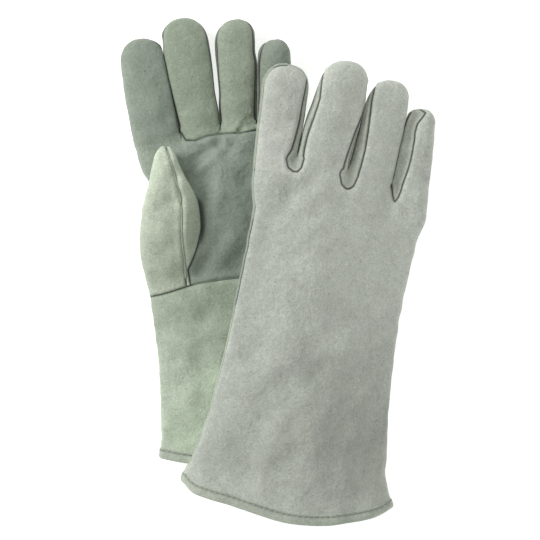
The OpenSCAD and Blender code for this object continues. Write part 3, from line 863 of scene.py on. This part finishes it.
def attach(side, item, body, replaced=None):
    """Rides on the hand; a piece of a finger or the thumb has its transform baked in and does not
    bend.
    """
    glove = SIDE_NAMES[side]
    if body == "hand":
        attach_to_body(item, glove + "_hand")
    else:
        start, end = bend_zone(side, body)
        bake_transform(item)
    if replaced:
        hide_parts(glove + "_" + replaced)


def grid_faces(rows, columns):
    """Quads of a tube of rings, each ring a row of points."""
    i, j = np.meshgrid(np.arange(rows - 1), np.arange(columns), indexing="ij")
    follow = (j + 1) % columns
    return np.stack([i * columns + j, (i + 1) * columns + j, (i + 1) * columns + follow,
                     i * columns + follow], -1).reshape(-1, 4)


def add_tube(name, path, radius, material, normals, segments=8):
    """A closed cord along a path, tapered at both ends."""
    tangent = np.gradient(path, axis=0)
    tangent /= np.linalg.norm(tangent, axis=1)[:, None]
    across = np.cross(tangent, normals)
    across /= np.maximum(np.linalg.norm(across, axis=1), 1e-9)[:, None]
    up = np.cross(across, tangent)
    angle = np.linspace(0, FULL_TURN, segments, endpoint=False)[None, :, None]
    taper = np.ones(len(path))
    taper[[0, -1]] = 0.25
    taper[[1, -2]] = 0.8
    spokes = np.cos(angle) * across[:, None] + np.sin(angle) * up[:, None]
    points = (path[:, None] + radius * taper[:, None, None] * spokes).reshape(-1, 3)
    points = np.concatenate([points, path[[0, -1]]])
    here = np.arange(segments)
    follow = (here + 1) % segments
    last = (len(path) - 1) * segments
    start_cap = np.stack([np.full(segments, len(points) - 2), here, follow], 1)
    end_cap = np.stack([np.full(segments, len(points) - 1), last + follow, last + here], 1)
    faces = grid_faces(len(path), segments).tolist() + start_cap.tolist() + end_cap.tolist()
    mesh = bpy.data.meshes.new(name)
    mesh.from_pydata(points.tolist(), [], faces)
    mesh.polygons.foreach_set("use_smooth", np.ones(len(mesh.polygons), bool))
    mesh.update()
    return link_object(name, mesh, material)


def path_lengths(path):
    return np.concatenate([[0], np.cumsum(np.linalg.norm(np.diff(path, axis=0), axis=1))])


def seam_path(points, key, normals, bin_size=1.8, spacing=0.0022, passes=5):
    """An even, smoothed path and its normals through scattered points, in order of key."""
    order = np.argsort(key)
    key = key[order]
    which = np.digitize(key, np.arange(key[0], key[-1] + bin_size, bin_size))
    # points and normals are averaged, smoothed and resampled together as six columns
    data = np.concatenate([points, normals], 1)[order]
    data = np.array([data[which == i].mean(0) for i in np.unique(which)])
    if len(data) < 6:
        return None
    for _ in range(passes):
        data[1:-1] = 0.5 * data[1:-1] + 0.25 * (data[:-2] + data[2:])
    run = path_lengths(data[:, :3])
    even = np.linspace(0, run[-1], max(6, int(run[-1] / spacing)))
    data = np.stack([np.interp(even, run, column) for column in data.T], 1)
    path, normals = data[:, :3], data[:, 3:]
    return path, normals / np.maximum(np.linalg.norm(normals, axis=1), 1e-9)[:, None]


# ---------------------------------------------------------------- swelling of the leather
def simulate_cloth(points, faces, held):
    """Blows up a cloth held at some of its points; returns the points after it, in mm."""
    mesh = bpy.data.meshes.new("cloth_proxy")
    mesh.from_pydata((points / 1000).tolist(), [], faces.tolist())
    mesh.update()
    proxy = bpy.data.objects.new("cloth_proxy", mesh)
    scene = bpy.context.scene
    scene.collection.objects.link(proxy)
    group = proxy.vertex_groups.new(name="sewn")
    group.add([int(i) for i in np.nonzero(held)[0]], 1.0, "REPLACE")
    cloth = proxy.modifiers.new("leather", "CLOTH")
    for key, value in dict(
            quality=5, mass=0.3, tension_stiffness=30, compression_stiffness=30,
            shear_stiffness=15, bending_stiffness=2.0, vertex_group_mass="sewn",
            use_pressure=True, uniform_pressure_force=4).items():
        setattr(cloth.settings, key, value)
    cloth.settings.effector_weights.gravity = 0
    cloth.collision_settings.use_collision = False
    cloth.collision_settings.use_self_collision = False
    frames = 20
    cloth.point_cache.frame_start = 1
    cloth.point_cache.frame_end = frames
    for frame in range(1, frames + 1):
        scene.frame_set(frame)
    evaluated = proxy.evaluated_get(bpy.context.evaluated_depsgraph_get())
    result = np.empty(len(points) * 3, np.float32)
    evaluated.to_mesh().vertices.foreach_get("co", result)
    evaluated.to_mesh_clear()
    bpy.data.objects.remove(proxy)
    bpy.data.meshes.remove(mesh)
    scene.frame_set(1)
    return result.reshape(-1, 3) * 1000


def puff(side, targets):
    """Swelling between the seams: a coarse copy of the glove is held along its seams and
    blown up as cloth, and its movement is carried over to the fine surface."""
    points, faces = surface(side, CLOTH_STEP)
    seams = seam_fields(side, points)
    hem = hem_y(side, points[:, 0])
    used, faces = compact(faces[(points[faces][:, :, 1] > hem[faces] + 2).all(1)])
    points = points[used]
    seams = {key: values[used] for key, values in seams.items()}
    held = ((seam_distance(side, points, seams) < 3.2) | (points[:, 1] < hem[used] + 12)
            | ((seams["gusset"] < 0) & (points[:, 1] > 100)) | (np.abs(seams["edge"]) < 2.5))
    shift = simulate_cloth(points, faces, held) - points
    # scale to the wanted swelling and cap the outliers
    size = np.linalg.norm(shift, axis=1)
    top = np.percentile(size[~held], 92)
    limit = np.minimum(1, top * 1.25 / np.maximum(size, 1e-6))
    shift *= (PUFF / max(top, 0.2) * limit)[:, None]
    for _ in range(2):      # average over neighbours
        total = np.zeros_like(shift)
        count = np.zeros(len(shift))
        for i in range(3):
            for j in range(3):
                np.add.at(total, faces[:, i], shift[faces[:, j]])
                np.add.at(count, faces[:, i], 1)
        shift = total / np.maximum(count, 1)[:, None]
    tree = mathutils.kdtree.KDTree(len(points))
    for i, point in enumerate(points):
        tree.insert(point, i)
    tree.balance()
    carried = np.zeros_like(targets)
    for i, point in enumerate(targets):
        near = tree.find_n(point, 4)
        weights = [1 / (distance + 0.4) ** 2 for _, _, distance in near]
        total = sum(weight * shift[found[1]] for weight, found in zip(weights, near))
        carried[i] = total / sum(weights)
    return carried


# ---------------------------------------------------------------- leather shell
def broad_painted_light_and_shade(side, x, y):
    """Broad lightening and darkening of the leather. On the right glove it is painted light where
    the hand slopes away from the key lamp and towards the cuff mouth, and painted shade by the ring
    and little finger gusset; on the left glove it is painted light towards the cuff mouth, and the
    fingers are lighter and the base of the hand darker.
    """
    if side == RIGHT:
        light = 0.40 * rise(y, -70, 120) * rise(x, -58, 60) + 0.15 * rise(-y, 110, 40)
        return light - 0.13 * rise(x, 46, 8) * rise(y, 105, 20)
    light = 0.16 * rise(y, 30, 40) - 0.12 + 0.22 * rise(-y, 20, 60)
    return light - 0.07 * rise(y, -5, 10) * (1 - rise(y, 30, 40))


def vertex_normals(points, faces):
    corners = points[faces]
    face_normals = np.cross(corners[:, 1] - corners[:, 0], corners[:, 2] - corners[:, 0])
    normals = np.zeros_like(points)
    for i in range(3):
        np.add.at(normals, faces[:, i], face_normals)
    return normals / np.maximum(np.linalg.norm(normals, axis=1), 1e-12)[:, None]


def trimmed_surface(side):
    """The glove's surface, cut off at the cuff mouth."""
    points, faces = surface(side)

    def above_hem():
        return points[:, 1] - hem_y(side, points[:, 0]) - 0.4
    points, faces = slice_mesh(points, faces, above_hem())
    used, faces = compact(faces[above_hem()[faces].mean(1) > 0])
    return points[used], faces


def shape_leather(side, points, seams):
    """Final points in world metres, and the material attributes of each."""
    x, y, z = points.T
    thumb = seams["thumb"]
    not_thumb = ~(thumb < 0)
    distance = seam_distance(side, points, seams)
    wear = bell(distance - 3.4, 1.8)
    _, outward = glove_gradient(side, points, 0.1)
    outward /= np.maximum(np.linalg.norm(outward, axis=1), 1e-6)[:, None]
    # crevice where the thumb leaves the palm; it is sunk in and also painted shade
    crevice = (bell(thumb - 1.4, 2.0) * rise(y, 22, 12) * (1 - rise(y, 54, 10))
               * (z > 0) * not_thumb * (1.0 if side == LEFT else 0.4))
    swelling = puff(side, points)
    hollow = 0
    if side == RIGHT:       # the gussets sink in between the fingers
        for outline, depth in zip(GUSSET_OUTLINES, GUSSET_DEPTHS):
            sunk = depth * rise(-outline_distance(outline, x, y), 0, 4.2)
            hollow = np.maximum(hollow, sunk * (z < 0) * not_thumb)
    relief = -0.9 * bell(distance, 1.25) + 0.35 * wear - 2.2 * crevice - hollow
    moved, touching = close_gaps(side, points + swelling + outward * relief[:, None])
    # painted shade: the seam attribute darkens the leather along every seam, in the thumb crevice
    # and on finger sides drawn together to touch
    painted_shade = np.maximum(np.clip(1.15 - distance / 0.95, 0, 1), 0.75 * crevice)
    painted_shade = np.maximum(painted_shade, 0.55 * touching * rise(np.abs(z), 5, 5))
    # the sunken gussets get extra painted shade on top of the broad painted light and shade
    attributes = {"seam": painted_shade, "wear": wear, "painted_light_and_shade": broad_painted_light_and_shade(side, x, y) - 0.085 * hollow}
    return to_world(side, crumple(side, moved)), attributes


def panel_table(side, points, faces, seams):
    """Rows of name, face mask, body, material and the piece replaced."""
    def face_mean(values):
        return values[faces].mean(1)
    letter = "LR"[side]
    y = face_mean(points[:, 1])
    finger = finger_at(side, face_mean(points[:, 0]), y)
    thumb = face_mean(seams["thumb"]) < 0
    gusset = ~thumb & (face_mean(seams["gusset"]) < 0)
    beyond = face_mean(seams["knuckle"]) > 0
    back = face_mean(seams["edge"]) < 0
    in_hand = ~thumb & ~gusset & ~beyond
    above_wrist = face_mean(seams["wrist"]) > 0
    tip = y > 56
    outer = face_mean(seams["thumb_seam"]) < 0
    panels = [
        ("back", in_hand & back, "hand", "back_" + letter, "back_panel"),
        ("palm", in_hand & ~back & above_wrist, "hand", "palm", "palm_panel"),
        ("cuff_palm", in_hand & ~back & ~above_wrist, "hand", "cuff", "cuff_front"),
        ("thumb_base_outer", thumb & ~tip & outer, "hand", "thumb_outer", "thumb_base_outer"),
        ("thumb_base_inner", thumb & ~tip & ~outer, "hand", "thumb_inner", "thumb_base_inner"),
        ("thumb_outer", thumb & tip & outer, "thumb", "thumb_outer", "thumb_outer"),
        ("thumb_inner", thumb & tip & ~outer, "thumb", "thumb_inner", "thumb_inner"),
        ("crotch_gussets", gusset & ~beyond, "hand", "gusset_" + letter, None)]
    for i, name in enumerate(FINGER_NAMES):
        mine = ~thumb & beyond & (finger == i)
        back_key = "index_R" if side == RIGHT and i == 0 else "back_" + letter
        front_key = "front_L%d" % i if side == LEFT else "front_R"
        pieces = "_fourchettes" if i in (1, 2) else "_fourchette"
        panels += [
            (name + "_back", mine & ~gusset & back, name, back_key, name + "_back"),
            (name + "_front", mine & ~gusset & ~back, name, front_key, name + "_front"),
            (name + "_fourchette", mine & gusset, name, "gusset_" + letter, name + pieces)]
    return panels


def add_panels(side, points, faces, seams, placed, normals, attributes):
    for name, mask, body, material, replaced in panel_table(side, points, faces, seams):
        if not mask.any():
            continue
        used, panel_faces = compact(faces[mask])
        suffix = "_leather" if replaced else ""
        item = add_mesh(SIDE_NAMES[side] + "_" + name + suffix, placed[used], panel_faces,
                        material, normals[used],
                        {key: values[used] for key, values in attributes.items()})
        attach(side, item, body, replaced)


def add_cords(side, points, seams, placed, normals):
    """Cords laid in the seams."""
    x, y, z = points.T
    finger, centre, thumb = seams["finger"], seams["centre"], seams["thumb"]

    def on(seam):
        return np.abs(seams[seam]) < 2e-3
    edge = on("edge") & (seams["gusset"] > 0.5) & ~(thumb < 0)
    low, high = edge & (x < -40), edge & (x > 40)
    index = edge & (finger == 0) & (x < centre - 3) & (y < FINGERS[side][0].tip_y - 3.0)
    little = edge & (finger == 3) & (x > centre + 3) & (y < FINGERS[side][3].tip_y - 3.0)
    on_hand = y <= KNUCKLE_Y + 1
    above_cuff = y > -CUFF[side] + 12
    wrist = on("wrist") & (z > 4) & (thumb > 0.5)
    knuckle = (on("knuckle") & (z > 4) & (finger > 0) & (finger < 3)
               & (seams["gusset"] > 0.5) & (x < 30))
    thumb_seam = on("thumb_seam") & (z > THUMB_PROFILES[side][1](y) + 1)
    index_start = 70 if side == LEFT else 66
    # name, points, coordinate that orders them, radius mm, raised by mm, material, body, replaced
    for name, mask, key, radius, raised, material, body, replaced in (
            ("welt_index_side", index & (y > KNUCKLE_Y), y, 1.0, 0.35, "welt", "index", None),
            ("welt_index_hand", low & on_hand & (y > index_start),
             y, 0.95, 0.3, "welt", "hand", None),
            ("welt_little_side", little & (y > KNUCKLE_Y), y, 0.8, 0.3, "welt", "little", None),
            ("side_welt", high & on_hand & above_cuff,
             y, 0.8, 0.25, "welt", "hand", "side_welt"),
            ("side_welt_thumb_edge", low & (y < 2) & above_cuff,
             y, 0.8, 0.25, "welt", "hand", None),
            ("wrist_welt", wrist, x, 0.75, -0.1, "welt_dark", "hand", "wrist_welt"),
            ("knuckle_seam_cord", knuckle, x, 0.6, -0.15, "welt_dark", "hand", None),
            ("thumb_welt_base", thumb_seam & (y < 57) & (y > -2),
             y, 0.8, 0.2, "welt", "hand", None),
            ("thumb_welt_tip", thumb_seam & (y >= 55.5) & (y < 100),
             y, 0.8, 0.2, "welt", "thumb", None)):
        if mask.sum() < 8:
            continue
        found = seam_path(placed[mask], key[mask], normals[mask])
        if found is None:
            continue
        path, up = found
        item = add_tube(SIDE_NAMES[side] + "_" + name, path + up * raised / 1000,
                        radius / 1000, material, up)
        attach(side, item, body, replaced)


# ---------------------------------------------------------------- hem and linings
HEM_STITCH_LINE = (6.0, -0.75)      # above the hem line, inset
# section of the hem roll: height above the hem line, inset from the leather
HEM_SECTION = [
    (8.0, 0.3), (7.7, -0.35), (6.9, -0.75), (6.0, -0.45), (5.0, -0.85), (3.6, -1.15),
    (2.0, -1.15), (0.6, -0.9), (-0.5, -0.2), (-0.9, 0.8), (-0.7, 1.9), (0.2, 2.8), (1.6, 3.3),
    (3.4, 3.5), (5.6, 3.3), (7.2, 3.3), (8.0, 2.7)]
STITCH_PITCH, STITCH_LENGTH = 0.0044, 0.0032        # metres
# one stitch: place along it, radius and height, each as a part of its full value
STITCH_PLACES = np.array([0.0, 0.06, 0.22, 0.5, 0.78, 0.94, 1.0]) * STITCH_LENGTH
STITCH_RADII = np.array([0.05, 0.6, 0.95, 1.0, 0.95, 0.6, 0.05]) * 0.00048
STITCH_HEIGHTS = np.array([-0.3, -0.05, 0.15, 0.2, 0.15, -0.05, -0.3]) * 0.001
STITCH_SIDES = 7


def ring_angles(count):
    return np.linspace(0, FULL_TURN, count, endpoint=False)


def super_power(value, power):
    """Coordinate on a superellipse, from a sine or cosine."""
    return np.sign(value) * np.abs(value) ** (2 / power)


def hand_point(side, y, angle, inset):
    centre, half_width = hand_section(side, y)
    half_height = hand_half_height(side, y, np.sin(angle) > 0)
    return np.stack([centre + (half_width - inset) * super_power(np.cos(angle), HAND_POWER),
                     y + 0 * angle,
                     (half_height - inset) * super_power(np.sin(angle), HAND_POWER)], -1)


def hem_point(side, angle, height, inset):
    """Point by the cuff mouth, at a height above the hem line measured along the glove."""
    y = np.full_like(angle, -CUFF[side] - 8)
    for _ in range(5):
        x = hand_point(side, y, angle, inset)[:, 0]
        y = 0.3 * y + 0.7 * (hem_y(side, x) + height)
    return hand_point(side, y, angle, inset)


def add_hem(side):
    angle = ring_angles(220)
    rows = []
    for height, inset in HEM_SECTION:
        pucker = 0.14 * np.sin(angle * 75) * (1 if height > 3 and inset < 0 else 0.3)
        rows.append(to_world(side, crumple(side, hem_point(side, angle, height,
                                                           inset + pucker))))
    faces = grid_faces(len(rows), len(angle))
    if side == LEFT:
        faces = faces[:, ::-1]
    # painted shade: the seam attribute darkens the inset rows along the hem's stitch line
    from_stitches = np.array([abs(height - HEM_STITCH_LINE[0]) if inset < 0 else 9
                              for height, inset in HEM_SECTION])
    wear = [1.0 if abs(height) < 1.2 else 0.3 for height, _ in HEM_SECTION]
    item = add_mesh(SIDE_NAMES[side] + "_hem", np.array(rows).reshape(-1, 3), faces, "hem",
                    attributes={"seam": np.repeat(0.42 * bell(from_stitches, 0.8), len(angle)),
                                "wear": np.repeat(wear, len(angle))})
    attach(side, item, "hand", "cuff_hem")


def add_hem_stitches(side):
    angle = np.linspace(0, FULL_TURN, 1400)
    loop = to_world(side, crumple(side, hem_point(side, angle, *HEM_STITCH_LINE)))
    run = path_lengths(loop)

    def along(place):
        return np.stack([np.interp(place % run[-1], run, loop[:, i]) for i in range(3)], -1)
    ring = ring_angles(STITCH_SIDES)[None, :, None]
    points = []
    for i in range(int(run[-1] / STITCH_PITCH)):
        start = i * STITCH_PITCH
        path = along(start + STITCH_PLACES)
        tangent = path[-1] - path[0]
        tangent /= np.linalg.norm(tangent)
        # away from the opposite side of the cuff
        opposite = along(np.array([start + run[-1] / 2]))[0]
        outward = np.array([0, 0, 1.0]) * np.sign(path[3][2] - opposite[2] + 1e-9)
        across = np.cross(tangent, outward)
        across /= max(np.linalg.norm(across), 1e-9)
        up = np.cross(across, tangent)
        up *= np.sign(up @ outward)
        spokes = np.cos(ring) * across + 0.8 * np.sin(ring) * up
        points.append((path[:, None] + STITCH_HEIGHTS[:, None, None] * up
                       + STITCH_RADII[:, None, None] * spokes).reshape(-1, 3))
    stitch = grid_faces(len(STITCH_PLACES), STITCH_SIDES)
    faces = [stitch + i * len(points[0]) for i in range(len(points))]
    item = add_mesh(SIDE_NAMES[side] + "_hem_stitches", np.concatenate(points),
                    np.concatenate(faces), "thread")
    attach(side, item, "hand", "hem_stitching")


def add_lining(side, part, body, rings):
    """A fleece tube through rings of points in the glove frame."""
    points = np.array([to_world(side, crumple(side, ring)) for ring in rings]).reshape(-1, 3)
    faces = grid_faces(len(rings), len(rings[0]))[:, ::(1 if side == LEFT else -1)]
    name = part + "_lining"
    item = add_mesh(SIDE_NAMES[side] + "_" + name + "_cloth", points, faces, "fleece")
    attach(side, item, body, name)


def add_hand_linings(side):
    angle = ring_angles(120)

    def ring(y, inset):
        return hand_point(side, np.full(len(angle), y), angle, inset)
    cuff = [hem_point(side, angle, height, 3.2) for height in (1.5, 5.0, 8.0)]
    cuff += [ring(y, 3.4 + 0.25 * math.sin(y / 5.0)) for y in np.linspace(-CUFF[side] + 14, -4, 26)]
    add_lining(side, "cuff", "hand", cuff)
    hand = [ring(y, 3.5) for y in np.linspace(-4, 98, 22)]
    hand += [ring(98.0 + 3 * k, 3.5 + 1.6 * k ** 1.5) for k in (1, 2, 3)]
    add_lining(side, "hand", "hand", hand)


def add_finger_lining(side, finger, inset=3.4):
    angle = ring_angles(32)
    spec = FINGERS[side][finger]
    cap = finger_cap(spec)
    cap_start = spec.tip_y - cap
    stations = list(np.linspace(108, cap_start, 12))
    stations += [cap_start + (cap - 3.6) * part for part in (0.3, 0.6, 0.8, 0.92, 0.985)]
    rings = []
    for y in stations:
        centre, half_width, half_height = finger_section(side, finger, np.array(y))
        end = max(0, (y - cap_start) / (cap - 3.0))
        shrink = max(1e-3, 1 - end ** FINGER_POWER) ** (1 / FINGER_POWER)
        rings.append(np.stack([
            centre + (half_width - inset) * shrink * super_power(np.cos(angle), FINGER_POWER),
            np.full(len(angle), y),
            -finger_drop(side, finger)
            + (half_height - inset) * shrink * super_power(np.sin(angle), FINGER_POWER)], -1))
    add_lining(side, FINGER_NAMES[finger], FINGER_NAMES[finger], rings)


def add_thumb_lining(side):
    angle = ring_angles(32)
    rings = []
    for y in np.linspace(66, THUMB_TIP[side] - 4, 9):
        centre_x, centre_z, half_width, half_height = map(float, thumb_section(side, y))
        end = max(0, (y - (THUMB_TIP[side] - THUMB_CAP)) / 9)
        shrink = max(0.02, 1 - min(end, 1) ** THUMB_POWER) ** (1 / THUMB_POWER)
        width = half_width - min(3, half_width * 0.5)
        height = half_height - min(3, half_height * 0.55)
        rings.append(np.stack([centre_x + width * shrink * np.cos(angle),
                               np.full(len(angle), y),
                               centre_z + height * shrink * np.sin(angle)], -1))
    add_lining(side, "thumb", "thumb", rings)


def add_glove(side):
    points, faces = cut_seams(side, *trimmed_surface(side))
    seams = seam_fields(side, points)
    placed, attributes = shape_leather(side, points, seams)
    if side == RIGHT:       # this glove is mirrored, so its faces are turned round
        faces = faces[:, ::-1]
    normals = vertex_normals(placed, faces)
    add_panels(side, points, faces, seams, placed, normals, attributes)
    add_cords(side, points, seams, placed, normals)
    add_hem(side)
    add_hem_stitches(side)
    add_hand_linings(side)
    for finger in range(4):
        add_finger_lining(side, finger)
    add_thumb_lining(side)


# ---------------------------------------------------------------- floor, light, camera; metres
def add_floor():
    bpy.ops.mesh.primitive_plane_add(size=8, location=(0, 0, -0.0008))
    floor = bpy.context.object
    floor.name = "floor"
    material, _, _, shader = new_material("pale_floor")
    set_inputs(shader, {"Base Color": (0.9, 0.9, 0.9, 1), "Roughness": 0.9,
                        "Emission Color": (1, 1, 1, 1), "Emission Strength": 0.62})
    floor.data.materials.append(material)


def add_world():
    world = bpy.data.worlds.new("studio")
    bpy.context.scene.world = world
    world.use_nodes = True
    set_inputs(world.node_tree.nodes["Background"],
               {"Color": (1, 1, 1, 1), "Strength": 0.40})


def add_area_light(name, location, size, power, target=(0, 0, 0.02)):
    light = bpy.data.lights.new(name, "AREA")
    light.shape = "RECTANGLE"
    light.size = light.size_y = size
    light.energy = power
    lamp = bpy.data.objects.new(name, light)
    lamp.location = location
    aim = mathutils.Vector([end - start for end, start in zip(target, location)])
    lamp.rotation_euler = aim.to_track_quat("-Z", "Y").to_euler()
    bpy.context.scene.collection.objects.link(lamp)


def add_camera(height=3.0, focus_height=0.035, view_width=0.4158, sensor=36):
    """Looks straight down; view_width is what it sees across at focus_height."""
    camera = bpy.data.cameras.new("camera")
    item = bpy.data.objects.new("camera", camera)
    scene = bpy.context.scene
    scene.collection.objects.link(item)
    item.location = (0.0275, 0.0006, height)
    item.rotation_euler = (0, 0, 0)
    camera.sensor_width = sensor
    camera.lens = sensor * (height - focus_height) / view_width
    camera.clip_end = 20
    scene.camera = item
    scene.view_settings.view_transform = "Standard"
    scene.view_settings.look = "None"


for glove_side in BOTH:
    add_glove(glove_side)
add_floor()
add_world()
add_area_light("key", location=(-1.9, 1.0, 1.6), size=1.1, power=44)
add_area_light("fill", location=(1.2, -0.5, 1.9), size=1.6, power=5)
add_camera()
